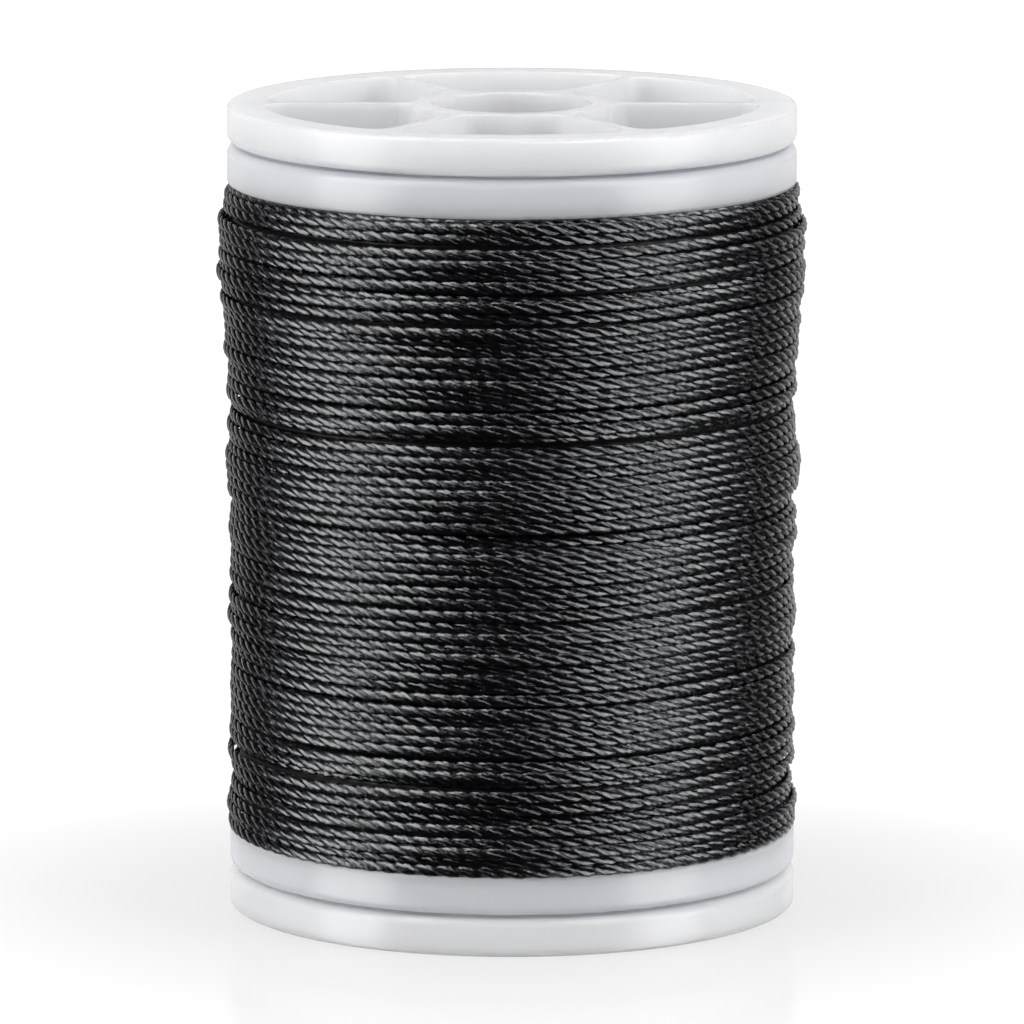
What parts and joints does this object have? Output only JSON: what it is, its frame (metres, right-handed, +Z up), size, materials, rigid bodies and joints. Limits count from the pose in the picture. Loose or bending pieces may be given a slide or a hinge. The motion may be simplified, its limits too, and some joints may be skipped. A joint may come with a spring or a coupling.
{
  "type": "waxed thread spool",
  "caption": "Snap-cap spool of waxed twisted hand-sewing thread, with translucent double-disc ends, ribbed caps and a through spindle bore.",
  "frame": {"origin": "middle of the base, on the surface that the lower cap stands on", "axes": "+Z up the spool's axis, -Y towards the side without the thread end; +X and -X along two of the cap ribs"},
  "size_m": [0.0462, 0.0462, 0.0634],
  "materials": {
    "natural_polypropylene": "satin, milky and translucent",
    "moulded_core": "satin",
    "waxed_thread": "glossy, waxed, three-ply twist"
  },
  "bodies": {
    "spool": {"core_tube": "moulded_core", "upper_inner_flange": "natural_polypropylene", "lower_inner_flange": "natural_polypropylene", "thread_inner_layers": "waxed_thread", "thread_outer_layer": "waxed_thread", "thread_end": "waxed_thread"},
    "upper_cap": {"upper_end_cap": "natural_polypropylene"},
    "lower_cap": {"lower_end_cap": "natural_polypropylene"}
  },
  "joints": [
    {"name": "upper_cap_lift", "type": "slide", "parent": "spool", "child": "upper_cap", "axis": [0, 0, 1], "range_m": [0, 0.0025]},
    {"name": "lower_cap_lift", "type": "slide", "parent": "spool", "child": "lower_cap", "axis": [0, 0, -1], "range_m": [0, 0.0025]}
  ]
}
